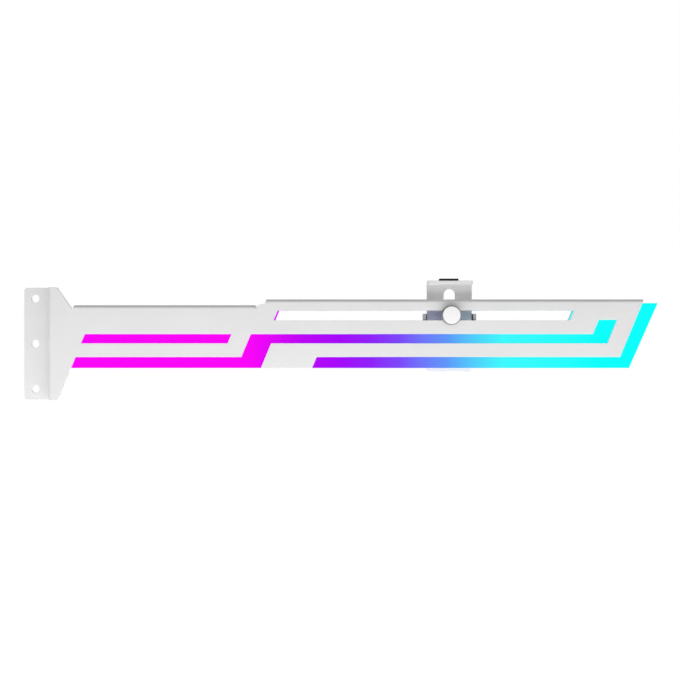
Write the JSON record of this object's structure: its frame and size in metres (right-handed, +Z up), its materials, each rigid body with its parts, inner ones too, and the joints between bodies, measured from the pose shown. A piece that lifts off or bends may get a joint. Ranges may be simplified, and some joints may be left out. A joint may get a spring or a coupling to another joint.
{
  "type": "graphics card support bracket",
  "caption": "White folded-sheet arm with a screw flange, lit windows and a slot, carrying a sliding clamped support with a rubber pad that holds up a graphics card.",
  "frame": {"origin": "centre of the middle flange hole on the flange's rear seating face", "axes": "+X along the arm, +Z up, -Y towards the front that shows"},
  "size_m": [0.284, 0.0164, 0.0544],
  "materials": {
    "white_paint": "white powder coat, satin, over folded steel sheet",
    "white_screw": "turned steel, with a white face and a darker bevel and knurl",
    "frosted_acrylic": "frosted acrylic, lit from magenta through violet and blue to cyan",
    "zinc_steel": "bright zinc-plated steel",
    "white_circuit": "white flexible circuit",
    "white_tape": "adhesive tape",
    "led_lens": "clear-filled light source",
    "ceramic": "ceramic capacitor",
    "black_rubber": "matt black rubber"
  },
  "bodies": {
    "arm": {"front_plate": "white_paint", "light_guide": "frosted_acrylic", "back_cover": "white_paint", "cover_standoffs": "zinc_steel", "cover_screws": "zinc_steel", "board_tape": "white_tape", "led_board": "white_circuit", "led_chips": "led_lens", "led_capacitors": "ceramic", "lead_grommet": "black_rubber"},
    "slider": {"guide_clip": "zinc_steel", "clamp_nut": "zinc_steel"},
    "support": {"support": "white_paint", "rubber_pad": "black_rubber"},
    "thumb_screw": {"thumb_screw": "white_screw"}
  },
  "joints": [
    {"name": "carriage_slide", "type": "slide", "parent": "arm", "child": "slider", "axis": [1, 0, 0], "range_m": [-0.0645, 0.0405]},
    {"name": "support_lift", "type": "slide", "parent": "slider", "child": "support", "axis": [0, 0, 1], "range_m": [-0.0063, 0.0155]},
    {"name": "thumb_screw_turn", "type": "hinge", "parent": "slider", "child": "thumb_screw", "pos_m": [0.1865, 0, 0.01266], "axis": [0, 1, 0], "continuous": true}
  ]
}
